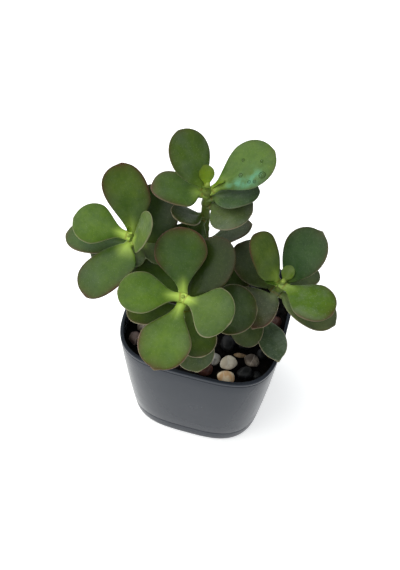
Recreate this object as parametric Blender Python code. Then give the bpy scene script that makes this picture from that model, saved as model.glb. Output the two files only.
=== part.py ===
"""Potted jade plant: four rooted cuttings in a rounded-square plastic pot with a clip-on saucer.

Metres, +Z up. The origin is the centre of the saucer's underside, where the pot stands on a table.
-Y is the side that the lowest, broadest rosette leans out over.
"""

from collections import namedtuple
from math import cos, pi, radians, sin, sqrt

import bmesh
import bpy
import numpy as np
from mathutils import Matrix, Vector

MM = 0.001

# Driving dimensions of the holder.
RIM_HALF = 65.0 * MM
BASE_HALF = 56.5 * MM
HEIGHT = 110.0 * MM
BULGE = 0.9 * MM
SAUCER_HEIGHT = 14.0 * MM
WALL = 1.8 * MM
GAP = 0.3 * MM
SOIL_TOP = 94.0 * MM

# Stems: radius where they leave the soil, under the top pair of leaves, and at the growing tip.
STEM_FOOT = 4.8 * MM
STEM_NECK = 2.4 * MM
STEM_TIP = 1.1 * MM
TIP_RUN = 6.0 * MM
ROOTED = 22.0 * MM

# Leaves.
LEAF_THICK = 3.8 * MM
PETIOLE_WIDE = 8.0 * MM
WIDEST_AT = 0.6

Leaf = namedtuple("Leaf", "height turn rise long wide bow roll cup", defaults=(10, 0, 1.5))
Shoot = namedtuple("Shoot", "root knee top leaves")


def clear_scene():
    for old in list(bpy.data.objects):
        bpy.data.objects.remove(old, do_unlink=True)


def new_collection(name):
    group = bpy.data.collections.new(name)
    bpy.context.scene.collection.children.link(group)
    return group


def finish_material(name, colour, roughness, metallic=0.0):
    """A Principled finish: colour is linear RGB."""
    material = bpy.data.materials.new(name)
    material.use_nodes = True
    shader = material.node_tree.nodes["Principled BSDF"]
    shader.inputs["Base Color"].default_value = (*colour, 1.0)
    shader.inputs["Roughness"].default_value = roughness
    shader.inputs["Metallic"].default_value = metallic
    return material


def add_object(name, shape, material, group):
    """Turns a bmesh into a named, smooth-shaded object in a collection."""
    if shape.calc_volume(signed=True) < 0:
        bmesh.ops.reverse_faces(shape, faces=shape.faces)
    mesh = bpy.data.meshes.new(name)
    shape.to_mesh(mesh)
    shape.free()
    if material:
        mesh.materials.append(material)
    mesh.shade_smooth()
    mesh.set_sharp_from_angle(angle=radians(40))
    made = bpy.data.objects.new(name, mesh)
    group.objects.link(made)
    return made


# ---------------------------------------------------------------- pot, saucer and soil


def wall_half(z):
    """Half the outer width of the holder at a height, on its flat sides."""
    u = z / HEIGHT
    return BASE_HALF + (RIM_HALF - BASE_HALF) * u + BULGE * 4 * u * (1 - u)


def squareness(z):
    """Exponent of the plan outline: 2 is a circle, and the rim is squarer than the foot."""
    return 3.2 + 0.6 * z / HEIGHT


def squared_turning(profile, segments=48):
    """A closed body: a profile of (inset from the wall, height) carried round a rounded square.

    An inset of None is a point on the axis, where the profile starts and ends.
    """
    shape = bmesh.new()
    steps = len(profile) - 1
    bmesh.ops.create_grid(shape, x_segments=segments, y_segments=steps, size=0.5)
    for vert in shape.verts:
        inset, z = profile[round((vert.co.y + 0.5) * steps)]
        angle = 2 * pi * round((vert.co.x + 0.5) * segments) / segments
        half = 0.0 if inset is None else wall_half(z) - inset
        power = squareness(z)
        reach = half / (abs(cos(angle)) ** power + abs(sin(angle)) ** power) ** (1 / power)
        vert.co = (reach * cos(angle), reach * sin(angle), z)
    bmesh.ops.remove_doubles(shape, verts=shape.verts, dist=1e-6)
    bmesh.ops.dissolve_degenerate(shape, edges=shape.edges, dist=1e-6)
    return shape


def saucer_shape():
    """A flat tray with a rolled foot and a straight wall, flush with the pot above it."""
    floor = 2.0 * MM
    profile = [
        (None, 0.0),
        (2.4 * MM, 0.0),
        (0.8 * MM, 0.7 * MM),
        (0.0, 2.6 * MM),
        (0.0, SAUCER_HEIGHT - 0.4 * MM),
        (0.4 * MM, SAUCER_HEIGHT),
        (WALL - 0.4 * MM, SAUCER_HEIGHT),
        (WALL, SAUCER_HEIGHT - 0.4 * MM),
        (WALL, floor + 1.2 * MM),
        (WALL + 1.2 * MM, floor),
        (None, floor),
    ]
    return squared_turning(profile)


POT_FLOOR = 10.0 * MM
LIP = 2.6 * MM
DRAIN_HOLE = 3.5 * MM
DRAIN_SPREAD = 30.0 * MM


def pot_shape():
    """A thin moulded wall with a lip and a groove under it; its skirt stands in the saucer."""
    skirt = WALL + 0.5 * MM
    seam = SAUCER_HEIGHT + GAP
    profile = [
        (None, POT_FLOOR - 2.0 * MM),
        (skirt + WALL, POT_FLOOR - 2.0 * MM),
        (skirt + WALL, 2.0 * MM + GAP),
        (skirt + 0.9 * MM, 2.0 * MM + GAP),
        (skirt, 3.4 * MM),
        (skirt, seam),
        (0.3 * MM, seam),
        (0.0, seam + 0.4 * MM),
        (0.0, 0.4 * HEIGHT),
        (0.0, 0.7 * HEIGHT),
        (0.0, HEIGHT - 4.2 * MM),
        (0.5 * MM, HEIGHT - 3.7 * MM),
        (0.0, HEIGHT - 3.1 * MM),
        (0.0, HEIGHT - 0.6 * MM),
        (0.6 * MM, HEIGHT),
        (LIP - 0.6 * MM, HEIGHT),
        (LIP, HEIGHT - 0.6 * MM),
        (LIP, HEIGHT - 5.0 * MM),
        (WALL, HEIGHT - 6.5 * MM),
        (WALL, 0.7 * HEIGHT),
        (WALL, 0.4 * HEIGHT),
        (WALL, seam + 2.5 * MM),
        (skirt + WALL, seam + 0.5 * MM),
        (skirt + WALL, POT_FLOOR),
        (None, POT_FLOOR),
    ]
    return squared_turning(profile)


def drain_cutter_shape():
    """Five short rods where the holes in the pot's floor are: one in the middle and four round it."""
    shape = bmesh.new()
    places = [(0, 0), (1, 0), (0, 1), (-1, 0), (0, -1)]
    for x, y in places:
        spot = Matrix.Translation((x * DRAIN_SPREAD, y * DRAIN_SPREAD, POT_FLOOR - 1.0 * MM))
        bmesh.ops.create_cone(
            shape,
            cap_ends=True,
            segments=12,
            radius1=DRAIN_HOLE,
            radius2=DRAIN_HOLE,
            depth=6.0 * MM,
            matrix=spot,
        )
    return shape


def soil_shape():
    """The block of compost, which fills the pot to below the rim."""
    clear = WALL + GAP
    seam = SAUCER_HEIGHT + 3.5 * MM
    profile = [
        (None, POT_FLOOR + GAP),
        (clear + WALL + 1.5 * MM, POT_FLOOR + GAP),
        (clear + WALL + 1.0 * MM, SAUCER_HEIGHT),
        (clear + 0.2 * MM, seam),
        (clear + 0.2 * MM, 0.4 * HEIGHT),
        (clear + 0.2 * MM, 0.7 * HEIGHT),
        (clear + 0.2 * MM, SOIL_TOP - 1.0 * MM),
        (clear + 1.5 * MM, SOIL_TOP),
        (None, SOIL_TOP),
    ]
    return squared_turning(profile)


# ---------------------------------------------------------------- stems


def stem_route(shoot, count=40):
    """Points up the middle of a stem: straight up out of the soil, then leaning to its rosette."""
    root = Vector((shoot.root[0], shoot.root[1], SOIL_TOP / MM))
    knee = Vector(shoot.knee)
    top = Vector(shoot.top)
    route = []
    for i in range(count + 1):
        t = i / count
        route.append(((1 - t) ** 2 * root + 2 * t * (1 - t) * knee + t * t * top) * MM)
    return route


def stem_centre(shoot, height):
    """The middle of the stem at a height above the table."""
    route = np.array(stem_route(shoot))
    return Vector([float(np.interp(height, route[:, 2], route[:, axis])) for axis in range(3)])


def stem_radius(shoot, height):
    """The stem thins slowly to its neck, and then quickly to the growing tip."""
    top = shoot.top[2] * MM
    neck = top - TIP_RUN
    if height > neck:
        return STEM_NECK + (STEM_TIP - STEM_NECK) * min(1.0, (height - neck) / TIP_RUN)
    up = max(0.0, (height - SOIL_TOP) / (neck - SOIL_TOP))
    return STEM_FOOT + (STEM_NECK - STEM_FOOT) * up


def add_stem(name, shoot, material, group):
    top = shoot.top[2] * MM
    heights = [SOIL_TOP - ROOTED, SOIL_TOP]
    heights += [SOIL_TOP + (top - SOIL_TOP) * i / 8 for i in range(1, 8)]
    heights += [top - TIP_RUN, top - 0.4 * TIP_RUN, top]
    heights.sort()
    curve = bpy.data.curves.new(name, "CURVE")
    curve.dimensions = "3D"
    curve.bevel_depth = 1.0
    curve.bevel_resolution = 3
    curve.use_fill_caps = True
    spline = curve.splines.new("POLY")
    spline.points.add(len(heights) - 1)
    for point, height in zip(spline.points, heights):
        centre = stem_centre(shoot, height)
        point.co = (centre.x, centre.y, height, 1.0)
        point.radius = stem_radius(shoot, height)
    spline.use_smooth = True
    curve.materials.append(material)
    made = bpy.data.objects.new(name, curve)
    group.objects.link(made)
    return made


def add_cutter(name, shape, group):
    cutter = add_object(name, shape, None, group)
    cutter.hide_render = True
    cutter.display_type = "WIRE"
    return cutter


def cut_with(piece, cutter):
    cut = piece.modifiers.new(cutter.name, "BOOLEAN")
    cut.operation = "DIFFERENCE"
    cut.object = cutter


def socket_shape(shoot):
    """A rod a little fatter than a stem's foot, for the hole in the soil that the stem stands in."""
    shape = bmesh.new()
    bmesh.ops.create_cone(
        shape,
        cap_ends=True,
        segments=14,
        radius1=STEM_FOOT + 2 * GAP,
        radius2=STEM_FOOT + 2 * GAP,
        depth=2 * (ROOTED + GAP),
        matrix=Matrix.Translation((shoot.root[0] * MM, shoot.root[1] * MM, SOIL_TOP)),
    )
    return shape


# ---------------------------------------------------------------- leaves


def blade_half(t, half):
    """Half the blade's width at t from 0 at the stem to 1 at the tip: a stalk, a flare, a round end."""
    stalk = min(PETIOLE_WIDE / 2, 0.5 * half)
    if t < WIDEST_AT:
        s = t / WIDEST_AT
        return stalk + (half - stalk) * s * s * (3 - 2 * s)
    s = (t - WIDEST_AT) / (1 - WIDEST_AT)
    return half * sqrt(max(0.0, 1 - s ** 2.2))


def leaf_shape(leaf, shoot):
    """A fleshy obovate blade, bowed along its length, which starts just clear of the stem."""
    long = leaf.long * MM
    half = leaf.wide * MM / 2
    thick = min(LEAF_THICK, 0.16 * long) / 2
    bow = radians(leaf.bow) or 1e-6
    turn = radians(leaf.turn)
    rise = radians(leaf.rise) + bow / 2
    outward = Vector((cos(turn), sin(turn), 0))
    along = outward * cos(rise) + Vector((0, 0, sin(rise)))
    across = Vector((-sin(turn), cos(turn), 0))
    facing = along.cross(across)
    tilt = Matrix.Rotation(radians(leaf.roll), 3, along)
    across = tilt @ across
    facing = tilt @ facing
    height = leaf.height * MM
    clear = stem_radius(shoot, height) + GAP + 0.8 * thick * abs(sin(rise))
    foot = stem_centre(shoot, height) + outward * clear
    shape = bmesh.new()
    bmesh.ops.create_uvsphere(shape, u_segments=12, v_segments=9, radius=1)
    for vert in shape.verts:
        t = (1 + vert.co.z) / 2
        ring = sqrt(max(0.0, 1 - vert.co.z ** 2))
        side = vert.co.x / ring if ring > 1e-4 else 0.0
        face = vert.co.y / ring if ring > 1e-4 else 0.0
        ends = 0.0 if ring < 1e-4 else 1.0
        width = blade_half(t, half) * side * ends
        rise_off = thick * sqrt(max(0.0, 1 - t ** 6)) * face * ends
        rise_off += leaf.cup * MM * (width / half) ** 2
        angle = bow * t
        spine = along * (sin(angle) / bow * long) - facing * ((1 - cos(angle)) / bow * long)
        up = facing * cos(angle) + along * sin(angle)
        vert.co = foot + spine + across * width + up * rise_off
    return shape


# ---------------------------------------------------------------- pebbles


def pebble_shape(x, y, size, flat, turn):
    """A water-worn stone: an egg of three unlike axes, lying on the soil."""
    shape = bmesh.new()
    bmesh.ops.create_icosphere(shape, subdivisions=2, radius=1)
    long = size * MM / 2
    wide = long * 0.78
    deep = long * flat
    spin = Matrix.Rotation(radians(turn), 3, "Z")
    for vert in shape.verts:
        egg = 1 + 0.18 * vert.co.x
        vert.co = spin @ Vector((vert.co.x * long, vert.co.y * wide * egg, vert.co.z * deep))
    lowest = min(vert.co.z for vert in shape.verts)
    place = Vector((x * MM, y * MM, SOIL_TOP + GAP - lowest))
    bmesh.ops.translate(shape, verts=shape.verts, vec=place)
    return shape


# ---------------------------------------------------------------- the plant's layout
# Places are millimetres in the object's frame. A leaf row is: the height where it joins the stem,
# the way it points seen from above, how far it rises, its length and its width, and then, where
# they matter, its bow, its roll and its cup. Pairs stand across each other up the stem.

SHOOTS = {
    "front": Shoot(
        root=(-6, -26),
        knee=(-10, -34, 150),
        top=(-11, -45, 179),
        leaves=(
            Leaf(173, 113, 46, 49, 38),
            Leaf(177, -165, 4, 44, 33, roll=-12),
            Leaf(173, -96, -18, 51, 38),
            Leaf(177, -22, 6, 38, 38, roll=15),
            Leaf(164, 64, 42, 52, 37),
            Leaf(164, 156, 2, 46, 34),
            Leaf(156, -162, -6, 40, 28),
            Leaf(156, -58, -8, 37, 30),
            Leaf(143, -62, -28, 38, 30),
            Leaf(152, 10, 10, 48, 42, roll=8),
        ),
    ),
    "left": Shoot(
        root=(-30, 4),
        knee=(-44, 6, 145),
        top=(-61, -15, 195),
        leaves=(
            Leaf(187, 121, 53, 53, 34),
            Leaf(193, -176, 10, 40, 31, roll=-22),
            Leaf(187, -116, -20, 51, 29),
            Leaf(193, -30, 62, 34, 22, roll=35),
            Leaf(177, -172, 3, 52, 34),
            Leaf(172, 71, 52, 50, 32),
            Leaf(172, -165, -10, 36, 24),
        ),
    ),
    "back": Shoot(
        root=(-10, 16),
        knee=(-14, 20, 160),
        top=(-14, 24, 224),
        leaves=(
            Leaf(218, 150, 53, 45, 35),
            Leaf(218, 27, 35, 52, 38, roll=15),
            Leaf(214, -168, 4, 37, 29, roll=-5),
            Leaf(222, 96, 52, 14, 10),
            Leaf(211, 12, 16, 35, 28),
            Leaf(203, -8, 12, 32, 31, roll=18),
            Leaf(195, -131, 28, 25, 15),
            Leaf(191.6, -110, -20, 36, 26),
            Leaf(165, 22, 25, 35, 28),
            Leaf(150, -25, -6, 40, 30),
        ),
    ),
    "right": Shoot(
        root=(40, 4),
        knee=(46, 1, 130),
        top=(54, 0, 168),
        leaves=(
            Leaf(163, 154, 50, 41, 29),
            Leaf(160, 55, 52, 50, 37),
            Leaf(163, -26, 4, 42, 34),
            Leaf(152, -18, -3, 46, 31),
            Leaf(157, 40, 8, 30, 22),
            Leaf(152, -118, -27, 30, 40),
            Leaf(166, 60, 50, 13, 9),
            Leaf(152, 144, 18, 44, 28),
            Leaf(124, -120, -28, 29, 24),
            Leaf(116, -61, -4, 36, 22),
            Leaf(132, -170, -12, 30, 24),
        ),
    ),
}

PEBBLES = (
    # x, y, size, flatness, turn, stone
    (26, -38, 14, 0.62, 40, "pale"),
    (28, -50, 14, 0.50, 5, "pale"),
    (15, -37, 10, 0.70, 80, "pale"),
    (33, -26, 12, 0.45, 10, "brown"),
    (44, -30, 13, 0.60, 150, "brown"),
    (10, -49, 12, 0.60, 30, "brown"),
    (22, -20, 14, 0.60, 100, "dark"),
    (41, -43, 12, 0.60, 20, "dark"),
    (-51, -36, 12, 0.55, 120, "brown"),
    (-48, -22, 14, 0.55, 60, "brown"),
    (54, 12, 12, 0.55, 90, "brown"),
    (-36, 44, 14, 0.60, 25, "pale"),
    (30, 46, 13, 0.55, 140, "dark"),
)


def build():
    clear_scene()
    parts = new_collection("potted_jade_plant")
    cutters = new_collection("cutters")

    plastic = finish_material("dark_grey_plastic", (0.085, 0.095, 0.11), 0.28)
    compost = finish_material("compost", (0.012, 0.010, 0.009), 0.95)
    bark = finish_material("green_stem", (0.13, 0.17, 0.04), 0.55)
    flesh = finish_material("leaf_flesh", (0.10, 0.22, 0.035), 0.38)
    stones = {
        "pale": finish_material("pale_stone", (0.50, 0.42, 0.32), 0.5),
        "brown": finish_material("brown_stone", (0.10, 0.06, 0.045), 0.4),
        "dark": finish_material("dark_stone", (0.02, 0.02, 0.022), 0.4),
    }

    add_object("saucer", saucer_shape(), plastic, parts)
    pot = add_object("pot", pot_shape(), plastic, parts)
    cut_with(pot, add_cutter("drain_holes", drain_cutter_shape(), cutters))
    soil = add_object("soil", soil_shape(), compost, parts)

    for name, shoot in SHOOTS.items():
        add_stem("stem_" + name, shoot, bark, parts)
        cut_with(soil, add_cutter("socket_" + name, socket_shape(shoot), cutters))
        for number, leaf in enumerate(shoot.leaves, start=1):
            add_object(f"leaf_{name}_{number}", leaf_shape(leaf, shoot), flesh, parts)

    for number, (*place, stone) in enumerate(PEBBLES, start=1):
        add_object(f"pebble_{number}", pebble_shape(*place), stones[stone], parts)


build()
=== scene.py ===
"""Potted jade plant: four rooted cuttings in a rounded-square plastic pot, in a shallow saucer.

Metres, +Z up. The origin is the middle of the saucer's underside, and -Y is the side that the
lowest, broadest rosette leans out over.
"""

from collections import namedtuple
from math import cos, radians, sin

import bpy
import numpy as np
from mathutils import Matrix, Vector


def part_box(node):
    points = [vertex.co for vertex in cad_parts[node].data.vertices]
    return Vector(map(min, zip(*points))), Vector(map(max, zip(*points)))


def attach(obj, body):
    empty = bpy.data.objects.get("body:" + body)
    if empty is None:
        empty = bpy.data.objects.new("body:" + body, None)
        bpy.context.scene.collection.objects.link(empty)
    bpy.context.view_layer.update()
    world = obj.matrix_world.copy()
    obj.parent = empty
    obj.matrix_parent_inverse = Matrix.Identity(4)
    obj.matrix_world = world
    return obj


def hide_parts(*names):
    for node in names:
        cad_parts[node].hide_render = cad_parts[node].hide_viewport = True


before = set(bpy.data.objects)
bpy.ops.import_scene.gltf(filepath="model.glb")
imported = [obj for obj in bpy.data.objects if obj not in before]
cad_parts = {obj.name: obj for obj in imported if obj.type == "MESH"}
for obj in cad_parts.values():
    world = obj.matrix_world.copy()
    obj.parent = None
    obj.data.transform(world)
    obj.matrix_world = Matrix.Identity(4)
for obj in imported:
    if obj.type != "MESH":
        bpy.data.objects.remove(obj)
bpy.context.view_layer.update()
MM = 0.001

# ---------------------------------------------------------------- pot and saucer
# The pot is one thin shell of glossy dark grey plastic, moulded as a rounded square that widens to
# a narrow lip. It stands in a shallow saucer of the same plastic. The two walls are flush, so only
# a fine dark seam shows between them.

pot_low, pot_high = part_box("pot")
RIM_HALF = (pot_high.x - pot_low.x) / 2
BASE_HALF = 56.5 * MM
HEIGHT = pot_high.z
BELLY = 0.9 * MM
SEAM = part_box("saucer")[1].z
WALL = 1.8 * MM
FOOT_POWER = 3.2
POWER_RISE = 0.6
SHELL_COLUMNS = 280


def wall_half(z):
    """Half the pot's width at a height: a straight taper, plus a parabola for its slight belly."""
    u = z / HEIGHT
    return BASE_HALF + (RIM_HALF - BASE_HALF) * u + BELLY * 4 * u * (1 - u)


def rounded(corners, steps=5):
    """A profile of corners (inset, height, radius), each corner cut by a quadratic curve that
    starts and ends its radius away from it. A radius of 0 keeps the corner as it is."""
    line = np.array([corner[:2] for corner in corners])
    radii = [corner[2] for corner in corners]
    t = np.linspace(0, 1, steps)[:, None]
    pieces = [line[:1]]
    for before, here, after, radius in zip(line, line[1:], line[2:], radii[1:]):
        if radius == 0:
            pieces.append(here[None])
            continue
        start = here + (before - here) * radius / np.linalg.norm(before - here)
        end = here + (after - here) * radius / np.linalg.norm(after - here)
        pieces.append((1 - t) ** 2 * start + 2 * t * (1 - t) * here + t * t * end)
    return np.vstack(pieces + [line[-1:]])


def squared_ring(inset, z, columns):
    """Points round a rounded square at each height: a superellipse, whose exponent grows evenly
    from 3.2 at the foot to 3.8 at the rim. An inset below zero stands for a point on the axis."""
    angle = np.linspace(0, 2 * np.pi, columns, endpoint=False)[None, :]
    inset = np.asarray(inset, float)[:, None]
    z = np.asarray(z, float)[:, None]
    power = FOOT_POWER + POWER_RISE * z / HEIGHT
    half = np.where(inset < 0, 0, wall_half(z) - inset)
    reach = half / (np.abs(np.cos(angle)) ** power + np.abs(np.sin(angle)) ** power) ** (1 / power)
    return np.stack([reach * np.cos(angle), reach * np.sin(angle), z + 0 * angle], axis=-1)


def skin(name, points, finish, slot, nodes=(), **layers):
    """A closed, smooth piece from points[row, column]. Columns run round it and join up, and its
    first and last rows are each one point. If the wedges from its middle to its faces add up to a
    volume below zero, the faces are turned. Each layer is a number or a colour for every point."""
    rows, columns = points.shape[:2]

    def as_corners(grid):
        return np.concatenate([grid[:1, 0], grid[1:-1].reshape(-1, *grid.shape[2:]), grid[-1:, 0]])

    corners = as_corners(points)
    ring = 1 + np.arange((rows - 2) * columns).reshape(rows - 2, columns)
    after = np.roll(ring, -1, axis=1)
    first = np.stack([np.zeros(columns, int), after[0], ring[0]], axis=-1)
    sides = np.stack([ring[:-1], after[:-1], after[1:], ring[1:]], axis=-1).reshape(-1, 4)
    last = np.stack([np.full(columns, len(corners) - 1), ring[-1], after[-1]], axis=-1)
    wedges = corners[np.vstack([first, last, sides[:, :3], sides[:, [0, 2, 3]]])]
    if np.linalg.det(wedges - corners.mean(axis=0)).sum() < 0:
        first, sides, last = first[:, ::-1], sides[:, ::-1], last[:, ::-1]
    mesh = bpy.data.meshes.new(name)
    mesh.from_pydata(corners.tolist(), [], first.tolist() + sides.tolist() + last.tolist())
    for layer, values in layers.items():
        values = as_corners(values)
        if values.ndim == 1:
            mesh.attributes.new(layer, "FLOAT", "POINT").data.foreach_set("value", values)
        else:
            colours = mesh.attributes.new(layer, "FLOAT_COLOR", "POINT")
            colours.data.foreach_set("color", values.ravel())
    return show(name, mesh, finish, nodes)


def show(name, mesh, finish, nodes=()):
    """Puts a finished mesh in the scene as one piece of the plant, in place of its CAD nodes."""
    mesh.shade_smooth()
    mesh.materials.append(finish)
    piece = bpy.data.objects.new(name, mesh)
    bpy.context.scene.collection.objects.link(piece)
    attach(piece, "root")
    if nodes:
        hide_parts(*nodes)
    return piece


class Wire:
    """One shader value. Arithmetic on it adds Math nodes to its finish."""

    def __init__(self, finish, socket):
        self.finish = finish
        self.socket = socket

    def maths(self, operation, *values):
        return self.finish.node("ShaderNodeMath", dict(enumerate(values)), operation=operation)

    def __add__(self, other):
        return self.maths("ADD", self, other)

    def __sub__(self, other):
        return self.maths("SUBTRACT", self, other)

    def __rsub__(self, other):
        return self.maths("SUBTRACT", other, self)

    def __mul__(self, other):
        return self.maths("MULTIPLY", self, other)

    __radd__ = __add__
    __rmul__ = __mul__


class Finish:
    """A material that is built node by node."""

    def __init__(self, name):
        self.material = bpy.data.materials.new(name)
        self.material.use_nodes = True
        self.tree = self.material.node_tree
        self.tree.nodes.clear()

    def node(self, kind, sockets=None, output=0, **settings):
        """Adds a node: its settings first, then a value or a wire for each of its sockets."""
        made = self.tree.nodes.new(kind)
        for setting, value in settings.items():
            setattr(made, setting, value)
        for key, value in (sockets or {}).items():
            if isinstance(value, Wire):
                self.tree.links.new(value.socket, made.inputs[key])
            elif isinstance(value, tuple) and made.inputs[key].type == "RGBA":
                made.inputs[key].default_value = (*value, 1)
            else:
                made.inputs[key].default_value = value
        return Wire(self, made.outputs[output])

    def place(self):
        return self.node("ShaderNodeTexCoord", output="Object")

    def layer(self, name, output="Fac"):
        return self.node("ShaderNodeAttribute", output=output, attribute_name=name)

    def noise(self, scale, detail=2.0, roughness=0.5, vector=None):
        sockets = {"Scale": scale, "Detail": detail, "Roughness": roughness}
        sockets["Vector"] = vector or self.place()
        return self.node("ShaderNodeTexNoise", sockets)

    def ease(self, value, low, high):
        """0 below low, 1 above high, and a smooth step between."""
        sockets = {"Value": value, "From Min": low, "From Max": high}
        return self.node("ShaderNodeMapRange", sockets, interpolation_type="SMOOTHSTEP")

    def mix(self, share, first, second, blend="MIX"):
        sockets = {0: share, 6: first, 7: second}
        return self.node("ShaderNodeMix", sockets, output=2, data_type="RGBA", blend_type=blend)

    def bump(self, height, distance, strength):
        sockets = {"Height": height, "Distance": distance, "Strength": strength}
        return self.node("ShaderNodeBump", sockets)

    def done(self, **sockets):
        """Ends in a Principled shader. Its sockets are named with _ for a space."""
        named = {name.replace("_", " "): value for name, value in sockets.items()}
        named.setdefault("IOR", 1.45)
        shader = self.node("ShaderNodeBsdfPrincipled", named)
        output = self.tree.nodes.new("ShaderNodeOutputMaterial")
        self.tree.links.new(shader.socket, output.inputs["Surface"])
        return self.material


def moulded_plastic():
    """Glossy dark grey plastic: faint flow clouds in its colour, a fine orange peel, and a little
    dust and rubbing that dulls the gloss in patches."""
    finish = Finish("moulded_plastic")
    flow = finish.noise(14, detail=3)
    dust = finish.ease(finish.noise(26, detail=5, roughness=0.6), 0.50, 0.80)
    colour = finish.mix(flow, (0.021, 0.025, 0.033), (0.029, 0.033, 0.042))
    colour = finish.mix(dust * 0.05, colour, (0.20, 0.21, 0.22))
    peel = finish.noise(420, detail=1)
    scuffs = finish.noise(2600, detail=2)
    return finish.done(
        Base_Color=colour,
        Roughness=0.17 + dust * 0.12 + flow * 0.06,
        Specular_IOR_Level=0.14,
        Specular_Tint=(0.74, 0.86, 1.0),
        IOR=1.5,
        Normal=finish.bump(peel + scuffs * 0.1, 0.03 * MM, 0.3),
    )


plastic = moulded_plastic()

ON_AXIS = -1.0
FOOT = WALL + 0.5 * MM
pot_profile = rounded(
    (
        (ON_AXIS, 8.0 * MM, 0),
        (FOOT + WALL + 1.5 * MM, 8.0 * MM, 0),
        (FOOT + WALL, 7.0 * MM, 0),
        (FOOT + WALL, 2.3 * MM, 0),
        (FOOT + 0.8 * MM, 2.3 * MM, 0),
        (FOOT, 3.1 * MM, 0),
        (FOOT, SEAM + 0.3 * MM, 0),
        (0.25 * MM, SEAM + 0.3 * MM, 0),
        (0.0, SEAM + 0.7 * MM, 0.2 * MM),
        (0.0, 0.25 * HEIGHT, 0),
        (0.0, 0.40 * HEIGHT, 0),
        (0.0, 0.55 * HEIGHT, 0),
        (0.0, 0.70 * HEIGHT, 0),
        (0.0, 0.85 * HEIGHT, 0),
        (0.0, HEIGHT - 4.2 * MM, 0.25 * MM),
        (0.55 * MM, HEIGHT - 3.8 * MM, 0.2 * MM),
        (0.0, HEIGHT - 3.3 * MM, 0.25 * MM),
        (0.0, HEIGHT, 0.8 * MM),
        (2.6 * MM, HEIGHT, 0.7 * MM),
        (2.6 * MM, HEIGHT - 5.0 * MM, 0.8 * MM),
        (WALL, HEIGHT - 6.5 * MM, 0.5 * MM),
        (WALL, 0.70 * HEIGHT, 0),
        (WALL, 0.40 * HEIGHT, 0),
        (WALL, SEAM + 3.0 * MM, 0.5 * MM),
        (FOOT + WALL, SEAM, 0),
        (FOOT + WALL, 10.0 * MM, 0),
        (ON_AXIS, 10.0 * MM, 0),
    )
)
pot_points = squared_ring(*pot_profile.T, SHELL_COLUMNS)
skin("moulded_pot", pot_points, plastic, "pot_plastic", ["pot"])

saucer_profile = rounded(
    (
        (ON_AXIS, 0.0, 0),
        (9.0 * MM, 0.0, 0),
        (2.6 * MM, 0.0, 1.2 * MM),
        (0.2 * MM, 1.2 * MM, 1.2 * MM),
        (0.0, 4.0 * MM, 0.8 * MM),
        (0.0, SEAM, 0.45 * MM),
        (WALL, SEAM, 0.45 * MM),
        (WALL, 2.0 * MM, 1.2 * MM),
        (9.0 * MM, 2.0 * MM, 0),
        (ON_AXIS, 2.0 * MM, 0),
    )
)
saucer_points = squared_ring(*saucer_profile.T, SHELL_COLUMNS)
skin("moulded_saucer", saucer_points, plastic, "pot_plastic", ["saucer"])

# ---------------------------------------------------------------- compost
# Fine, damp, nearly black potting compost, filled to below the lip. Its surface is uneven, and
# loose crumbs and flakes of bark lie all over it.

SOIL_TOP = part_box("soil")[1].z
SOIL_ROWS = 64
SOIL_COLUMNS = 220
SOIL_INSET = WALL + 0.4 * MM
GRAIN_SEED = 7
CRUMBS = 3400
CRUMB_INSET = WALL + 1.6 * MM
CORNER_POWER = 3.7


def bumpy(x, y, z, seed, size):
    """Smooth random hills, mostly from -1 to 1: a fifth of the sum of twelve seeded sine waves in
    random directions, whose lengths run from the size down to a third of it."""
    rng = np.random.default_rng(seed)
    total = 0
    for _ in range(12):
        way = rng.normal(size=3)
        way *= 2 * np.pi / (np.linalg.norm(way) * size * rng.uniform(0.33, 1.0))
        total = total + np.sin(way[0] * x + way[1] * y + way[2] * z + rng.uniform(0, 2 * np.pi))
    return total / 5


def compost_finish():
    """Almost black crumbs with a few brown flecks; wet enough to shine here and there."""
    finish = Finish("damp_compost")
    crumb = finish.noise(700, detail=4, roughness=0.7)
    fleck = finish.ease(finish.noise(260, detail=2), 0.60, 0.72)
    wet = finish.ease(finish.noise(90, detail=2), 0.50, 0.70)
    colour = finish.mix(crumb, (0.0016, 0.0014, 0.0013), (0.0065, 0.0050, 0.0042))
    colour = finish.mix(fleck * 0.5, colour, (0.022, 0.014, 0.009))
    return finish.done(
        Base_Color=colour,
        Roughness=0.95 - wet * 0.3,
        Specular_IOR_Level=0.12,
        Normal=finish.bump(crumb, 0.8 * MM, 0.8),
    )


compost = compost_finish()


def soil_height(x, y):
    """The compost's surface: hills from waves up to 40 mm long, and clods from waves up to 8 mm."""
    hills = bumpy(x, y, 0 * x, GRAIN_SEED, 40 * MM)
    clods = bumpy(x, y, 0 * x, GRAIN_SEED + 1, 8 * MM)
    return SOIL_TOP - 0.9 * MM + 0.8 * MM * hills + 0.5 * MM * clods


top_rows = np.linspace(0, 1, SOIL_ROWS)
soil_edge = squared_ring([SOIL_INSET], [SOIL_TOP], SOIL_COLUMNS)[0]
soil_top = top_rows[:, None, None] * soil_edge[None]
soil_top[..., 2] = soil_height(soil_top[..., 0], soil_top[..., 1])
soil_side = squared_ring(
    [SOIL_INSET, SOIL_INSET, 8 * MM, 8 * MM, ON_AXIS],
    [SOIL_TOP - 12 * MM, SEAM + 6 * MM, SEAM, 11 * MM, 11 * MM],
    SOIL_COLUMNS,
)
skin("compost_fill", np.vstack([soil_top, soil_side]), compost, "compost", ["soil"])


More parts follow.
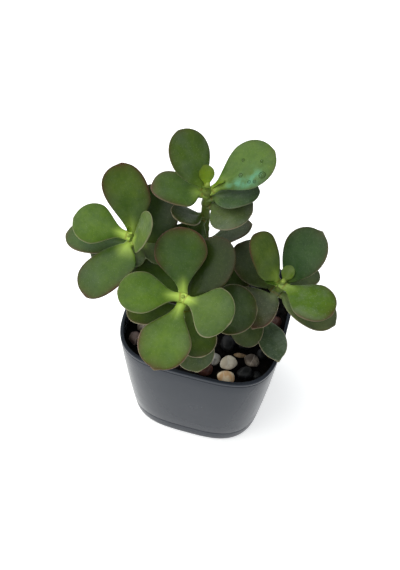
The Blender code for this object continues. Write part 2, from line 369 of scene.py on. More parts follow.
def scattered(name, solid, faces, centres, scales, seed, finish):
    """Many scaled copies of one small solid, joined as one piece. Each is turned by the matrix of a
    random unit quaternion, and each of its points moves in or out by up to a quarter."""
    rng = np.random.default_rng(seed)
    turns = rng.normal(size=(len(centres), 4))
    w, x, y, z = (turns / np.linalg.norm(turns, axis=1)[:, None]).T
    turned = np.array(
        [
            [1 - 2 * (y * y + z * z), 2 * (x * y - z * w), 2 * (x * z + y * w)],
            [2 * (x * y + z * w), 1 - 2 * (x * x + z * z), 2 * (y * z - x * w)],
            [2 * (x * z - y * w), 2 * (y * z + x * w), 1 - 2 * (x * x + y * y)],
        ]
    ).transpose(2, 0, 1)
    uneven = rng.uniform(0.75, 1.25, (len(centres), len(solid), 1))
    shapes = solid[None] * scales[:, None, :] * uneven
    points = np.einsum("nij,nkj->nki", turned, shapes) + centres[:, None, :]
    corners = faces[None] + len(solid) * np.arange(len(centres))[:, None, None]
    mesh = bpy.data.meshes.new(name)
    mesh.from_pydata(points.reshape(-1, 3).tolist(), [], corners.reshape(-1, 3).tolist())
    return show(name, mesh, finish)


OCTAHEDRON = np.array([[1, 0, 0], [-1, 0, 0], [0, 1, 0], [0, -1, 0], [0, 0, 1], [0, 0, -1]], float)
OCTAHEDRON_FACES = np.array(
    [[0, 2, 4], [2, 1, 4], [1, 3, 4], [3, 0, 4], [2, 0, 5], [1, 2, 5], [3, 1, 5], [0, 3, 5]]
)
rng = np.random.default_rng(GRAIN_SEED)
spread = np.sqrt(rng.uniform(0, 1, CRUMBS))
heading = rng.uniform(0, 2 * np.pi, CRUMBS)
roundness = np.abs(np.cos(heading)) ** CORNER_POWER + np.abs(np.sin(heading)) ** CORNER_POWER
crumb_reach = (wall_half(SOIL_TOP) - CRUMB_INSET) * spread / roundness ** (1 / CORNER_POWER)
crumb_x, crumb_y = crumb_reach * np.cos(heading), crumb_reach * np.sin(heading)
crumb_size = 0.45 * MM + 0.9 * MM * rng.uniform(0, 1, CRUMBS) ** 3
centres = np.stack([crumb_x, crumb_y, soil_height(crumb_x, crumb_y) + 0.2 * crumb_size], axis=-1)
scales = crumb_size[:, None] * rng.uniform([0.8, 0.5, 0.25], [1.6, 1.0, 0.7], (CRUMBS, 3))
scattered(
    "compost_crumbs", OCTAHEDRON, OCTAHEDRON_FACES, centres, scales, GRAIN_SEED, compost
)

# ---------------------------------------------------------------- pebbles
# Water-worn stones strewn on the compost: a few cream, grey and tan ones, some red-brown, and black
# ones that hardly show. Each is an egg of three unlike axes with its own colour and veins.

Stone = namedtuple("Stone", "body second vein slot gloss")
CREAM = Stone((0.80, 0.74, 0.62), (0.58, 0.51, 0.40), (0.75, 0.72, 0.66), "pale_stone", 0.45)
SANDY = Stone((0.86, 0.74, 0.54), (0.66, 0.42, 0.22), (0.75, 0.68, 0.55), "pale_stone", 0.45)
CHALKY = Stone((0.42, 0.41, 0.38), (0.16, 0.15, 0.14), (0.60, 0.58, 0.55), "pale_stone", 0.5)
TAN = Stone((0.36, 0.24, 0.13), (0.12, 0.08, 0.05), (0.50, 0.38, 0.24), "brown_stone", 0.4)
UMBER = Stone((0.065, 0.050, 0.038), (0.25, 0.21, 0.17), (0.45, 0.40, 0.35), "brown_stone", 0.35)
RUSSET = Stone(
    (0.050, 0.018, 0.014), (0.090, 0.035, 0.026), (0.12, 0.07, 0.06), "brown_stone", 0.35
)
ROSY = Stone((0.150, 0.105, 0.098), (0.085, 0.055, 0.050), (0.30, 0.24, 0.22), "brown_stone", 0.4)
BLACK = Stone(
    (0.0045, 0.0050, 0.0055), (0.012, 0.013, 0.014), (0.03, 0.03, 0.03), "dark_stone", 0.35
)


def stone_finish(name, stone):
    """Two clouded colours with a few thin veins and a fine grain that roughens the polish."""
    finish = Finish(name)
    cloud = finish.ease(finish.noise(150, detail=3), 0.42, 0.62)
    grain = finish.noise(1600, detail=3)
    bands = finish.node(
        "ShaderNodeTexWave",
        {"Vector": finish.place(), "Scale": 55.0, "Distortion": 9.0, "Detail": 2.0},
    )
    vein = finish.ease(bands, 0.90, 0.99)
    colour = finish.mix(cloud, stone.body, stone.second)
    colour = finish.mix(vein * 0.5, colour, stone.vein)
    colour = finish.mix(grain * 0.25, colour, stone.second)
    return finish.done(
        Base_Color=colour,
        Roughness=stone.gloss + grain * 0.2,
        Specular_IOR_Level=0.25,
        Normal=finish.bump(grain + cloud * 0.4, 0.12 * MM, 0.5),
    )


def pebble_points(middle, size, wide, flat, turn, seed, rows=22, columns=34):
    """An egg about its middle: a ball stretched to its three axes, fatter at one end, with its
    surface pushed in and out by a tenth in smooth random hollows, then turned."""
    polar = np.linspace(0, np.pi, rows)[:, None]
    around = np.linspace(0, 2 * np.pi, columns, endpoint=False)[None, :]
    x = np.cos(polar) + 0 * around
    y = np.sin(polar) * np.cos(around)
    z = np.sin(polar) * np.sin(around)
    swell = 1 + 0.09 * bumpy(x, y, z, seed, 2.6)
    egg = 1 + 0.16 * x
    x = x * size / 2 * swell
    y = y * size / 2 * wide * egg * swell
    z = z * size / 2 * flat * swell
    turn = radians(turn)
    turned = np.stack([x * cos(turn) - y * sin(turn), x * sin(turn) + y * cos(turn), z], axis=-1)
    return turned + np.array(middle)


PEBBLES = (
    # stone, size in mm, width to length, flatness, turn
    (CREAM, 14, 0.80, 0.62, 40),
    (SANDY, 14, 0.78, 0.50, 5),
    (CHALKY, 11, 0.78, 0.66, 80),
    (TAN, 10, 0.42, 0.22, 10),
    (UMBER, 13, 0.80, 0.60, 150),
    (RUSSET, 13, 0.78, 0.60, 30),
    (BLACK, 15, 0.85, 0.60, 100),
    (BLACK, 13, 0.85, 0.60, 20),
    (ROSY, 12, 0.78, 0.55, 120),
    (UMBER, 14, 0.78, 0.55, 60),
    (RUSSET, 13, 0.78, 0.55, 90),
    (CREAM, 14, 0.78, 0.60, 25),
    (BLACK, 13, 0.78, 0.55, 140),
)
finishes = {}
for number, (stone, size, wide, flat, turn) in enumerate(PEBBLES, start=1):
    node = f"pebble_{number}"
    low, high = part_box(node)
    middle = (low + high) / 2
    middle.z = low.z - 0.8 * MM + size * MM * flat / 2
    points = pebble_points(middle, size * MM, wide, flat, turn, seed=number)
    if stone not in finishes:
        finishes[stone] = stone_finish(f"stone_{len(finishes) + 1}", stone)
    skin(f"river_{node}", points, finishes[stone], stone.slot, [node])

LOOSE_STONES = (
    # x, y in mm, stone, size, flatness, turn
    (34, -14, BLACK, 15, 0.50, 20),
    (50, -20, BLACK, 11, 0.60, 80),
    (50, -40, BLACK, 9, 0.60, 10),
    (16, -56, BLACK, 8, 0.60, 130),
    (-54, -12, BLACK, 12, 0.55, 70),
    (-50, 8, BLACK, 13, 0.50, 30),
    (-30, 34, RUSSET, 10, 0.55, 45),
    (6, 44, BLACK, 14, 0.50, 100),
    (48, 34, UMBER, 11, 0.55, 160),
    (-10, 52, TAN, 10, 0.50, 60),
    (26, 22, BLACK, 13, 0.50, 15),
)
for number, (x, y, stone, size, flat, turn) in enumerate(LOOSE_STONES, start=1):
    x, y = x * MM, y * MM
    middle = (x, y, soil_height(x, y) + size * MM * flat / 2 - 1.0 * MM)
    points = pebble_points(middle, size * MM, 0.8, flat, turn, seed=40 + number)
    skin(f"loose_stone_{number}", points, finishes[stone], stone.slot)

# ---------------------------------------------------------------- stems
# Each cutting has one upright fleshy stem, rooted in the compost. It is woody and brown-grey at its
# foot and smooth green above, swollen into a ring wherever a pair of leaves grows or has dropped.

Stem = namedtuple("Stem", "root knee top nodes")
STEMS = {
    # root, knee, top and the heights of its leaf joints, all in mm
    "front": Stem((-6, -26), (-10, -34, 150), (-11, -45, 179), (108, 121, 133, 143, 153, 164, 175)),
    "left": Stem((-30, 4), (-44, 6, 145), (-61, -15, 195), (110, 126, 142, 158, 174, 188)),
    "back": Stem(
        (-10, 16), (-14, 20, 160), (-14, 24, 224), (110, 130, 150, 165, 180, 193, 206, 217)
    ),
    "right": Stem((40, 4), (46, 1, 130), (54, 0, 168), (104, 116, 126, 138, 152, 162)),
}
FOOT_GIRTH = 4.8 * MM
NECK_GIRTH = 3.1 * MM
TIP_GIRTH = 1.5 * MM
TIP_RUN = 6.0 * MM
ROOTED = 6 * MM
SWELL_RUN = 1.6 * MM
SCAR_RUN = 0.5 * MM
STEM_ROWS = 130
STEM_COLUMNS = 40


def stem_line(stem, height):
    """The middle of a stem at heights above the table: a quadratic curve from its root to its top,
    pulled towards its knee."""
    t = np.linspace(0, 1, 41)[:, None]
    root = np.array([*stem.root, SOIL_TOP / MM])
    route = (1 - t) ** 2 * root + 2 * t * (1 - t) * np.array(stem.knee) + t * t * np.array(stem.top)
    route = route * MM
    return np.stack([np.interp(height, route[:, 2], route[:, axis]) for axis in range(3)], axis=-1)


def stem_girth(stem, height):
    """A stem's radius: an even taper from the soil to its neck, then a quick one to its tip."""
    top = stem.top[2] * MM
    heights = [0, SOIL_TOP, top - TIP_RUN, top]
    return np.interp(height, heights, [FOOT_GIRTH, FOOT_GIRTH, NECK_GIRTH, TIP_GIRTH])


def stem_finish():
    """Smooth green skin, yellower near the top, that turns to brown-grey cork at the foot; darker
    rings at the leaf scars and fine streaks along the stem."""
    finish = Finish("jade_stem")
    age = finish.layer("age")
    ring = finish.layer("ring")
    stretched = finish.node(
        "ShaderNodeMapping", {"Vector": finish.place(), "Scale": (1.0, 1.0, 0.12)}
    )
    streak = finish.noise(900, detail=3, vector=stretched)
    cork = finish.ease(age + streak * 0.5 - 0.25, 0.45, 0.95)
    colour = finish.mix(finish.ease(age, 0.0, 0.4), (0.16, 0.23, 0.040), (0.060, 0.095, 0.018))
    colour = finish.mix(finish.ease(age, 0.0, 0.03), (0.34, 0.46, 0.08), colour)
    colour = finish.mix(cork, colour, (0.055, 0.040, 0.025))
    colour = finish.mix(streak * 0.35, colour, (0.030, 0.036, 0.012))
    colour = finish.mix(ring * 0.6, colour, (0.085, 0.060, 0.030))
    return finish.done(
        Base_Color=colour,
        Roughness=0.42 + cork * 0.35,
        Specular_IOR_Level=0.2,
        Normal=finish.bump(streak, 0.25 * MM, 0.5),
    )


stem_skin = stem_finish()
for name, stem in STEMS.items():
    heights = np.linspace(SOIL_TOP - ROOTED, stem.top[2] * MM, STEM_ROWS)
    heights = np.append(heights, heights[-1] + 0.8 * MM)
    nodes = np.array(stem.nodes) * MM
    swell = np.exp(-(((heights[:, None] - nodes) / SWELL_RUN) ** 2)).sum(axis=1)
    scar = np.exp(-(((heights[:, None] - nodes) / SCAR_RUN) ** 2)).sum(axis=1)
    girth = stem_girth(stem, heights) + 0.7 * MM * swell - 0.25 * MM * scar
    girth[[0, -1]] = 0
    around = np.linspace(0, 2 * np.pi, STEM_COLUMNS, endpoint=False)[None, :]
    centre = stem_line(stem, heights)[:, None, :]
    centre[..., 2] = heights[:, None]
    x, y = np.cos(around), np.sin(around)
    knobbly = 1 + 0.05 * bumpy(x * 8, y * 8, heights[:, None] / MM, len(name), 16)
    points = centre + np.stack(
        [girth[:, None] * knobbly * x, girth[:, None] * knobbly * y, 0 * x + 0 * knobbly], axis=-1
    )
    age = 1 - (heights - SOIL_TOP) / (stem.top[2] * MM - SOIL_TOP)
    wide = np.ones(STEM_COLUMNS)
    skin(
        f"jade_stem_{name}",
        points,
        stem_skin,
        "stem",
        [f"stem_{name}"],
        age=np.clip(age, 0, 1)[:, None] * wide,
        ring=np.clip(scar, 0, 1)[:, None] * wide,
    )

# ---------------------------------------------------------------- leaves
# Thick, smooth, water-filled leaves in crossed pairs, each pair joined round the stem by its short
# pale stalks. The blade is broadest past its middle, with a blunt tip, a dished upper face and a
# fuller lower one. Young leaves are bright green; old and sun-touched ones redden at the margin.
# Each leaf's green is its own tone with painted light and shade in it, set to how bright the leaf
# looks where it stands; the darkest greens, on leaves tucked under or behind others, are mostly
# painted shade.

Leaf = namedtuple(
    "Leaf",
    # height, length, width and tip in mm; turn, rise and roll in degrees; the rest are shares
    "height turn rise long wide roll green blush pale heart tip waist widest lean skew bloom wet",
    defaults=(0, None, 0.5, 0.3, 0.6, 0.4, 1.0, 0.6, 0.0, 0.0, 0.1, 0.0),
)
# Named greens. The deep one is an old leaf's tone darkened with painted shade, for leaves low down
# or behind others; the sage one is a greyish old-leaf tone lightened with painted light, for leaves
# that sit in shade.
YOUNG = (0.140, 0.230, 0.010)
BRIGHT = (0.064, 0.130, 0.010)
GRASS = (0.056, 0.108, 0.013)
MID = (0.040, 0.086, 0.010)
OLIVE = (0.052, 0.094, 0.012)
DEEP_SHADED = (0.024, 0.048, 0.007)
TEAL = (0.036, 0.072, 0.021)
SAGE = (0.070, 0.105, 0.040)

LEAF_THICK = 3.8 * MM
BOW = radians(10)
DISH = 1.5 * MM
STALK_HALF = 3.4 * MM
STALK_CLEAR = 0.3 * MM
STALK_ROOT = 1.2 * MM
NECK_RUN = 0.06
TIP_POWER = 2.2
SECTION_POWER = 2.4


def ease(value, low, high):
    """0 below low, 1 above high, and a smooth step between."""
    share = np.clip((value - low) / (high - low), 0, 1)
    return share * share * (3 - 2 * share)


def blade_half(leaf, t, s):
    """Half the leaf's width at t, on the side of s: its stalk's, then a smooth flare raised to the
    power of its waist, below 1 for a fuller base, then a quarter of a superellipse of exponent 2.2
    down to nothing at the tip. A lean puts the widest place further out on one side, and a skew
    makes that side broader."""
    side = np.clip(3 * s, -1, 1)
    stalk = min(STALK_HALF, 0.2 * leaf.wide * MM)
    half = leaf.wide * MM / 2 * (1 + leaf.skew * side)
    widest = leaf.widest + leaf.lean * side
    flare = stalk + (half - stalk) * ease(t, NECK_RUN, widest) ** leaf.waist
    beyond = np.clip((t - widest) / (1 - widest), 0, 1)
    return np.where(t < widest, flare, half * np.sqrt(1 - beyond**TIP_POWER))


def leaf_surface(leaf, stem, t, s, face):
    """Points of a leaf at t along it (0 where it leaves the stem, 1 at the tip), s across it (-1 to
    1) and face through it (-1 under, 1 on top). The midline is an arc of the bow's angle, which
    runs on level into the stem. The blade is dished by the square of its reach across, thinned by a
    crease over its middle, waved by a sine along its margin, and drawn out a little at the tip."""
    long = leaf.long * MM
    turn = radians(leaf.turn)
    rise = radians(leaf.rise) + BOW / 2
    outward = np.array([cos(turn), sin(turn), 0.0])
    across = np.array([-sin(turn), cos(turn), 0.0])
    along = outward * cos(rise) + np.array([0, 0, sin(rise)])
    facing = np.cross(along, across)
    tilt = np.array(Matrix.Rotation(radians(leaf.roll), 3, along.tolist()))
    across, facing = tilt @ across, tilt @ facing
    thick = min(LEAF_THICK, 0.16 * long) / 2
    height = leaf.height * MM
    clear = stem_girth(stem, height) + STALK_CLEAR + 0.8 * thick * abs(sin(rise))
    foot = stem_line(stem, height) + outward * clear
    t, s, face = np.broadcast_arrays(t, s, face)
    blade = np.clip(t, 0, 1)
    level = np.clip(-t * long / (clear + 1.0 * MM), 0, 1) / 2
    back = np.minimum(t, 0) * long
    angle = BOW * blade
    ahead = np.sin(angle) / BOW * long + back * (1 - level)
    width = blade_half(leaf, t, s) * s
    reach = width / (leaf.wide * MM / 2)
    body = thick * np.sqrt(1 - blade**6) * (1.25 - 0.35 * ease(blade, 0, 0.45))
    crease = 0.2 * np.exp(-((s / 0.2) ** 2)) * ease(blade, 0.05, 0.2)
    crease = crease * (1 - ease(blade, 0.2, 0.6))
    lift = body * face * np.where(face > 0, 0.8 - crease, 1.0)
    lift = lift + DISH * reach**2
    wave = 0.5 * MM * np.sin(2.2 * np.pi * blade + leaf.turn) * reach * np.abs(reach)
    lift = lift + wave * ease(blade, 0.2, 0.6)
    point = leaf.tip * MM * ease(blade, 0.93, 1.0) * np.clip(1 - np.abs(width) / (4 * MM), 0, 1)
    ahead = ahead + point
    midline = (
        along * ahead[..., None]
        + outward * (back * level)[..., None]
        - facing * ((1 - np.cos(angle)) / BOW * long)[..., None]
    )
    up = facing * np.cos(angle)[..., None] + along * np.sin(angle)[..., None]
    return foot + midline + across * width[..., None] + up * lift[..., None]


def add_leaf(name, leaf, stem, node=None, rows=58, columns=56):
    """One leaf as a closed skin. A row is a section: a superellipse of exponent 2.4, whose rim
    keeps a clear edge. The layers are what its finish needs: the leaf's green, its own tone with
    painted light and shade in it, how near a point is to the stalk (heart), to its join with the
    stem, to the edge, which painted shade darkens, to the reddened margin (blush) and to the very
    rim, how waxy it is (bloom, which also paints a whitish sheen), how wet it is (which also paints
    a blue-green reflection), and whether it is under."""
    start = -(stem_girth(stem, leaf.height * MM) + STALK_ROOT) / (leaf.long * MM)
    t = start + (1 - start) * (1 - np.cos(np.linspace(0, np.pi, rows)[:, None])) / 2
    round_it = np.linspace(0, 2 * np.pi, columns, endpoint=False)[None, :]
    s = np.sign(np.cos(round_it)) * np.abs(np.cos(round_it)) ** (2 / SECTION_POWER)
    face = np.sign(np.sin(round_it)) * np.abs(np.sin(round_it)) ** (2 / SECTION_POWER)
    ends = np.ones_like(t)
    ends[[0, -1]] = 0
    points = leaf_surface(leaf, stem, t, s * ends, face * ends)
    from_margin = (1 - np.abs(s)) * blade_half(leaf, t, s)
    from_margin = np.minimum(from_margin, (1 - t) * leaf.long * MM * 0.8)
    uneven = bumpy(points[..., 0], points[..., 1], points[..., 2], 3, 40 * MM)
    redness = leaf.blush * ease(t + 0.12 * uneven, 0.15, 0.75)
    band = np.exp(-from_margin / (1.2 * MM)) + 0.40 * np.exp(-from_margin / (5.0 * MM))
    # A wet band along one side of the leaf: glossier, and tinted with a painted blue-green
    # reflection.
    wet = leaf.wet * np.exp(-(((s + 0.62) / 0.34) ** 2))
    wet = wet * ease(t, 0.14, 0.3) * (1 - ease(t, 0.6, 0.85))
    wide = np.ones_like(from_margin)
    return skin(
        name,
        points,
        leaf_flesh,
        "leaf",
        [node] if node else [],
        # The leaf's green: its own tone with painted light and shade in it.
        green=np.array([*leaf.green, 1.0]) * wide[..., None],
        blush=np.clip(redness * band, 0, 1),
        rim=leaf.pale * np.exp(-((from_margin / (0.45 * MM)) ** 2)) * ease(t, 0.05, 0.3),
        heart=leaf.heart * (1 - ease(t + 0.12 * np.abs(s), 0.0, 0.34)) * wide,
        joint=np.exp(-((t / 0.015) ** 2)) * ease(face, 0.0, 0.4),
        # Painted shade: how strongly the leaf is darkened towards its edge, fading over about 4 mm.
        edge=np.exp(-from_margin / (4.0 * MM)) * ease(t, 0.1, 0.4),
        # How waxy the leaf is: a grey wax bloom that also paints a whitish sheen on it.
        bloom=leaf.bloom * wide,
        wet=wet,
        under=ease(-face, 0.0, 0.5) * wide,
    )


def leaf_flesh_finish():
    """Waxy green flesh: clouded in patches, darker towards the edge with painted shade, paler
    underneath, with a grey bloom of wax that also paints a whitish sheen, and a painted blue-green
    reflection where it is wet, where the layers ask for them. Yellow-green at the stalk, brown at
    the joint, red-brown at the margin, with a pale line on the rim and pale pores."""
    finish = Finish("leaf_flesh")
    green = finish.layer("green", "Color")
    cloud = finish.ease(finish.noise(75, detail=4, roughness=0.6), 0.30, 0.70)
    mottle = finish.ease(finish.noise(420, detail=3), 0.40, 0.65)
    grain = finish.noise(1500, detail=2)
    pores = finish.node(
        "ShaderNodeTexVoronoi", {"Vector": finish.place(), "Scale": 640.0, "Randomness": 1.0}
    )
    pore = 1 - finish.ease(pores, 0.10, 0.26)
    colour = finish.mix(cloud, green, finish.mix(1.0, green, (1.50, 1.36, 1.15), "MULTIPLY"))
    colour = finish.mix(
        mottle * 0.5, colour, finish.mix(1.0, colour, (0.76, 0.84, 0.80), "MULTIPLY")
    )
    # Painted shade: the leaf's colour is darkened towards its edge.
    painted_shade = finish.mix(1.0, colour, (0.62, 0.66, 0.62), "MULTIPLY")
    colour = finish.mix(finish.layer("edge") * 0.8, colour, painted_shade)
    colour = finish.mix(finish.layer("under") * 0.5, colour, (0.070, 0.095, 0.034))
    # Grey bloom in patches: partly the leaf's own wax, partly a painted whitish sheen.
    wax_and_sheen = finish.ease(finish.noise(48, detail=5, roughness=0.65), 0.40, 0.66)
    colour = finish.mix(finish.layer("bloom") * wax_and_sheen, colour, (0.20, 0.25, 0.19))
    # Painted reflection: a blue-green sheen laid on the wet band, where the gloss is raised as
    # well.
    wet = finish.layer("wet") * finish.ease(finish.noise(150, detail=3), 0.30, 0.72)
    colour = finish.mix(wet, colour, (0.10, 0.32, 0.20))
    colour = finish.mix(finish.layer("heart"), colour, (0.46, 0.64, 0.110))
    colour = finish.mix(finish.layer("joint") * 0.6, colour, (0.20, 0.11, 0.02))
    blush = finish.layer("blush") * (0.65 + cloud * 0.5)
    colour = finish.mix(blush, colour, (0.070, 0.026, 0.014))
    speck = pore * (0.05 + finish.layer("bloom") * 0.5)
    colour = finish.mix(speck, colour, (0.36, 0.42, 0.26))
    colour = finish.mix(finish.layer("rim"), colour, (0.42, 0.36, 0.24))
    return finish.done(
        Base_Color=colour,
        Roughness=(0.26 + grain * 0.08 + mottle * 0.08) * (1 - 0.6 * wet),
        Specular_IOR_Level=0.18,
        Subsurface_Weight=0.12,
        Subsurface_Radius=(0.6, 1.0, 0.25),
        Subsurface_Scale=0.0022,
        Normal=finish.bump(grain * 0.5 + mottle - pore * 0.6, 0.10 * MM, 0.45),
    )


leaf_flesh = leaf_flesh_finish()

LEAVES = {
    # The front cutting is the broadest: two bright upper pairs over three old, shaded ones.
    "front": (
        Leaf(173, 113, 46, 48, 38, green=MID, blush=1.0, pale=0.1, heart=1.0, widest=0.62),
        Leaf(177, -165, 4, 44, 33, roll=-12, green=BRIGHT, blush=0.15, pale=0.4, heart=1.0),
        Leaf(173, -96, -18, 51, 38, green=BRIGHT, blush=0.9, pale=0.3, heart=0.9, tip=1.5),
        Leaf(177, -22, 6, 38, 38, roll=15, green=GRASS, blush=0.1, pale=0.6, heart=1.0, lean=-0.1),
        # An old leaf under the upper pair: its very dark green is mostly painted shade.
        Leaf(
            164, 64, 42, 52, 37, green=(0.016, 0.032, 0.004), blush=0.35, pale=0.0, heart=0.1,
            waist=0.6, widest=0.55, bloom=0.0,
        ),
        Leaf(164, 153, 5, 46, 38, green=MID, blush=0.9, pale=0.1, heart=0.1, waist=0.5, lean=0.15),
        Leaf(156, -162, -6, 40, 28, green=OLIVE, blush=0.6, pale=0.5, heart=0.1),
        Leaf(156, -58, -8, 37, 30, green=OLIVE, blush=0.5, pale=0.7, heart=0.1),
        Leaf(
            143, -62, -28, 38, 30, green=SAGE, blush=0.1, pale=0.7, heart=0.1, tip=1.2, bloom=0.25,
        ),
        Leaf(
            152, 10, 10, 48, 42, roll=8, green=(0.021, 0.048, 0.005), blush=0.4, pale=0.4,
            heart=0.1, waist=0.7,
        ),
    ),
    # The left cutting leans out over the rim, with long narrow-waisted leaves.
    "left": (
        Leaf(
            187, 121, 53, 53, 34, green=GRASS, blush=1.0, pale=0.0, heart=0.8, tip=0.6, waist=0.8,
            lean=0.12,
        ),
        Leaf(193, -176, 10, 40, 31, roll=-22, green=BRIGHT, blush=0.1, pale=0.4, heart=1.0),
        Leaf(
            187, -113, -20, 51, 34, green=MID, blush=0.8, pale=0.0, heart=0.9, waist=0.4,
            widest=0.5, lean=-0.18,
        ),
        Leaf(
            191, -34, 58, 35, 27, roll=52, green=(0.072, 0.118, 0.028), blush=0.1, pale=0.3,
            heart=0.6, waist=0.4, widest=0.5, lean=0.15,
        ),
        Leaf(177, -172, 3, 52, 34, green=(0.046, 0.096, 0.022), blush=0.6, pale=0.3, heart=0.2),
        # Set behind the others: its very dark green is mostly painted shade.
        Leaf(
            172, 71, 52, 47, 37, green=(0.012, 0.027, 0.004), blush=0.4, pale=0.0, heart=0.1,
            waist=0.3, widest=0.55, lean=0.27, bloom=0.0,
        ),
        Leaf(172, -165, -10, 36, 24, green=TEAL, blush=0.4, pale=0.3, heart=0.3),
    ),
    # The back cutting is the tallest and ends in a pair of young yellow-green leaves.
    "back": (
        Leaf(
            217, 150, 53, 45, 35, green=GRASS, blush=0.5, pale=0.1, heart=0.2, waist=0.5,
            widest=0.56, bloom=0.2,
        ),
        # Wet from watering, with a painted blue-green reflection along one side.
        Leaf(
            218, 27, 35, 52, 38, roll=12, green=(0.058, 0.118, 0.016), blush=0.2, pale=0.1,
            heart=0.8, waist=0.75, bloom=0.05, wet=0.8,
        ),
        Leaf(
            214, -168, 5, 37, 32, roll=-3, green=MID, blush=0.8, pale=0.2, heart=0.4, waist=0.35,
            widest=0.48, lean=-0.2,
        ),
        Leaf(
            221, 112, 42, 13.5, 11.5, green=YOUNG, blush=0.25, pale=0.0, heart=0.1, waist=0.6,
            widest=0.5,
        ),
        Leaf(
            211, 12, 16, 35, 31, green=(0.045, 0.085, 0.034), blush=0.1, pale=0.1, heart=0.2,
            bloom=0.3, waist=0.35, widest=0.45,
        ),
        Leaf(
            204.5, -8, 11, 32, 34, roll=18, green=SAGE, blush=0.4, pale=0.4, heart=0.1, bloom=0.3,
            waist=0.2, widest=0.5, lean=0.12, skew=-0.12,
        ),
        Leaf(195, -131, 26, 26, 24, green=DEEP_SHADED, blush=0.3, pale=0.4, heart=0.1, waist=0.5),
        Leaf(
            191.6, -110, -20, 36, 33, green=DEEP_SHADED, blush=0.2, pale=0.2, heart=0.1, waist=0.5,
            bloom=0.2,
        ),
        Leaf(
            165, 26, 25, 35, 22, green=(0.018, 0.036, 0.007), blush=0.4, pale=0.2, heart=0.1,
            tip=1.0, lean=0.1,
        ),
        Leaf(150, -25, -6, 40, 30, green=DEEP_SHADED, blush=0.5, pale=0.3, heart=0.1),
    ),
    # The right cutting is the shortest, with old leaves down to the compost.
    "right": (
        Leaf(
            163, 155, 50, 41, 29, green=(0.075, 0.125, 0.018), blush=0.7, pale=0.0, heart=0.4,
            waist=0.4, widest=0.55, lean=-0.14,
        ),
        Leaf(
            160, 53, 52, 48, 36, green=(0.018, 0.052, 0.009), blush=0.4, pale=0.2, heart=0.3,
            tip=1.2, waist=0.5, skew=0.08, bloom=0.06,
        ),
        Leaf(
            163, -26, 4, 42, 36, green=BRIGHT, blush=0.8, pale=0.2, heart=0.45, waist=0.7,
            bloom=0.35,
        ),
        # Its light green is partly painted light, on a leaf that lies in the shade of the one
        # above.
        Leaf(
            152, -18, -3, 46, 33, green=(0.110, 0.150, 0.066), blush=0.4, pale=0.3, heart=0.2,
            tip=1.0, waist=0.4,
        ),
        Leaf(157, 40, 8, 30, 22, green=(0.085, 0.125, 0.052), blush=0.4, pale=0.3, heart=0.1),
        Leaf(
            154, -110, -23, 30, 33, green=(0.050, 0.066, 0.028), blush=1.0, pale=0.4, heart=0.1,
            tip=2.5, waist=0.3, widest=0.45, lean=0.12, skew=-0.4, bloom=0.3,
        ),
        Leaf(
            165, 70, 42, 11.5, 10.5, green=(0.090, 0.150, 0.010), blush=0.0, pale=0.0, heart=0.1,
            waist=0.5, widest=0.5,
        ),
        Leaf(
            152, 146, 18, 44, 36, green=(0.036, 0.056, 0.018), blush=0.7, pale=0.1, heart=0.1,
            waist=0.4, lean=-0.12,
        ),
        Leaf(
            124, -120, -28, 30, 28, green=SAGE, blush=0.2, pale=0.6, heart=0.1, waist=0.5,
            bloom=0.15,
        ),
        Leaf(
            116, -61, -4, 36, 23, green=(0.052, 0.085, 0.046), blush=0.0, pale=0.7, heart=0.1,
            tip=3.0, waist=0.5, widest=0.5, bloom=0.5,
        ),
        Leaf(132, -170, -12, 30, 24, green=DEEP_SHADED, blush=0.3, pale=0.3, heart=0.1),
    ),
}
for cutting, leaves in LEAVES.items():
    for number, leaf in enumerate(leaves, start=1):
        node = f"leaf_{cutting}_{number}"
        add_leaf(f"jade_{node}", leaf, STEMS[cutting], node)

# ---------------------------------------------------------------- buds
# The newest leaves stand folded together at each growing tip, and a few small side shoots start
# where a leaf meets the stem.

BUDS = (
    # stem, then the bud's leaf
    ("back", Leaf(221, -84, 55, 9, 7, green=YOUNG, blush=0.0, pale=0.0, heart=0.3)),
    ("back", Leaf(220, 20, 40, 11, 5, green=YOUNG, blush=0.0, pale=0.0, heart=0.8)),
    ("right", Leaf(163, -160, 22, 10, 7, green=BRIGHT, blush=0.0, pale=0.0, heart=0.3)),
    ("left", Leaf(185, -72, -20, 17, 15, green=SAGE, blush=0.0, pale=0.2, heart=0.5, waist=0.5)),
    ("left", Leaf(182, -16, -12, 22, 17, green=SAGE, blush=0.0, pale=0.1, heart=0.5, waist=0.5)),
    ("left", Leaf(194, 110, 62, 5, 3.6, green=YOUNG, blush=0.1, pale=0.0, heart=0.9)),
)
for number, (name, leaf) in enumerate(BUDS, start=1):
    add_leaf(f"jade_bud_{number}", leaf, STEMS[name], rows=24, columns=24)

# ---------------------------------------------------------------- water drops
# A few drops left by watering, on the tall cutting's brightest leaf. Each is a low dome of clear
# water, held round by the leaf's wax.

DROPS = (
    # t along the leaf, s across it, radius in mm
    (0.72, -0.70, 2.6),
    (0.45, -0.22, 1.6),
    (0.52, -0.68, 1.3),
    (0.59, -0.76, 1.3),
    (0.79, -0.15, 1.2),
    (0.57, 0.32, 1.2),
)


def water_finish():
    """Clear water over green: nearly see-through in the middle, dark where its side is steep."""
    finish = Finish("water_drop")
    side = finish.node("ShaderNodeLayerWeight", {"Blend": 0.5}, output="Facing")
    return finish.done(
        Base_Color=(0.020, 0.050, 0.012),
        Roughness=0.04,
        IOR=1.33,
        Alpha=0.18 + finish.ease(side, 0.2, 0.75) * 0.7,
    )


def top_face(s):
    """The face value of a leaf's upper skin at s: its section's superellipse, solved for face."""
    return (1 - abs(s) ** SECTION_POWER) ** (1 / SECTION_POWER)


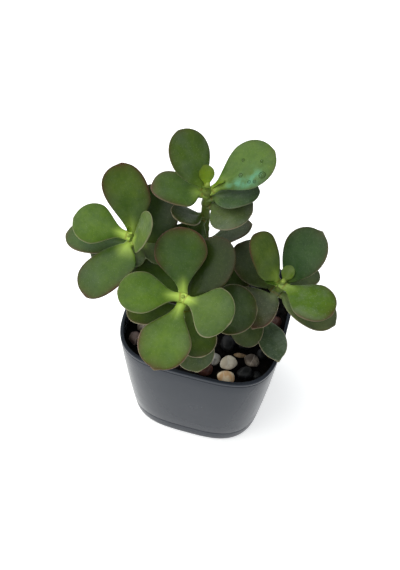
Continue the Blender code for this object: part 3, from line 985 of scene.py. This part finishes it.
water = water_finish()
wet_leaf = LEAVES["back"][1]
for number, (t, s, radius) in enumerate(DROPS, start=1):
    radius = radius * MM
    here, ahead, aside = (
        leaf_surface(wet_leaf, STEMS["back"], t + dt, s + ds, top_face(s + ds))
        for dt, ds in ((0, 0), (0.02, 0), (0, 0.05))
    )
    along = (ahead - here) / np.linalg.norm(ahead - here)
    up = np.cross(along, aside - here)
    up = up / np.linalg.norm(up)
    across = np.cross(up, along)
    polar = np.linspace(0, np.pi, 15)[:, None]
    round_it = np.linspace(0, 2 * np.pi, 28, endpoint=False)[None, :]
    flat = np.where(np.cos(polar) > 0, 0.55, 0.12) * np.cos(polar)
    dome = (
        along * (np.sin(polar) * np.cos(round_it))[..., None]
        + across * (np.sin(polar) * np.sin(round_it))[..., None]
        + up * (flat + 0 * round_it)[..., None]
    )
    skin(f"water_drop_{number}", here + up * 0.1 * MM + radius * dome, water, "leaf")

# ---------------------------------------------------------------- studio
# A plain white floor that glows a little, a white surround, one broad soft light from above on the
# left and a small cool one behind. The camera looks down on the plant, a little from its right, and
# leans slightly.

FLOOR_HALF = 6.0
FLOOR_DROP = 0.3 * MM
floor_mesh = bpy.data.meshes.new("studio_floor")
floor_signs = ((-1, -1), (1, -1), (1, 1), (-1, 1))
floor_corners = [(x * FLOOR_HALF, y * FLOOR_HALF, -FLOOR_DROP) for x, y in floor_signs]
floor_mesh.from_pydata(floor_corners, [], [(0, 1, 2, 3)])
studio_white = Finish("studio_white").done(
    Base_Color=(0.93, 0.93, 0.93),
    Roughness=0.9,
    Emission_Color=(1.0, 1.0, 1.0),
    Emission_Strength=0.50,
)
floor_mesh.materials.append(studio_white)
floor = bpy.data.objects.new("studio_floor", floor_mesh)
bpy.context.scene.collection.objects.link(floor)


def aimed(thing, place, target, roll=0.0):
    """Stands a light or a camera at a place, looking at the target, then leans it by the roll."""
    place, target = np.array(place), np.array(target)
    back = (place - target) / np.linalg.norm(place - target)
    right = np.cross((0, 0, 1), back)
    right = right / np.linalg.norm(right)
    up = np.cross(back, right)
    right, up = right * cos(roll) + up * sin(roll), up * cos(roll) - right * sin(roll)
    axes = np.stack([right, up, back], axis=-1)
    matrix = Matrix([[*row, point] for row, point in zip(axes, place)])
    matrix.resize_4x4()
    thing.matrix_world = matrix
    bpy.context.scene.collection.objects.link(thing)


def softbox(name, place, target, size, watts, colour):
    """A round soft light, size metres across."""
    light = bpy.data.lights.new(name, "AREA")
    light.shape = "DISK"
    light.size = size
    light.energy = watts
    light.color = colour
    aimed(bpy.data.objects.new(name, light), place, target)


PLANT_MIDDLE = (-0.012, 0.014, 0.120)
KEY_PLACE = (-0.95, -0.10, 1.15)
WINDOW_PLACE = (-0.45, 0.80, 0.75)
KEY_WHITE = (1.0, 0.99, 0.94)
WINDOW_WHITE = (0.92, 0.97, 1.0)
softbox("key_softbox", KEY_PLACE, PLANT_MIDDLE, size=2.4, watts=27.0, colour=KEY_WHITE)
softbox("window_softbox", WINDOW_PLACE, PLANT_MIDDLE, size=0.3, watts=0.7, colour=WINDOW_WHITE)

SURROUND_WHITE = (0.95, 0.98, 1.0, 1.0)
SURROUND_STRENGTH = 0.6
world = bpy.data.worlds.new("studio_surround")
world.use_nodes = True
surround = world.node_tree.nodes["Background"].inputs
surround["Color"].default_value = SURROUND_WHITE
surround["Strength"].default_value = SURROUND_STRENGTH
bpy.context.scene.world = world
bpy.context.scene.view_settings.view_transform = "Standard"

CAMERA_PLACE = (0.0685, -0.3617, 0.6066)
CAMERA_ROLL = radians(4.3)
FOCAL_LENGTH = 48.19
lens = bpy.data.cameras.new("studio_camera")
lens.lens = FOCAL_LENGTH
lens.clip_start = 0.02
lens.clip_end = 30.0
camera = bpy.data.objects.new("studio_camera", lens)
aimed(camera, CAMERA_PLACE, PLANT_MIDDLE, CAMERA_ROLL)
bpy.context.scene.camera = camera
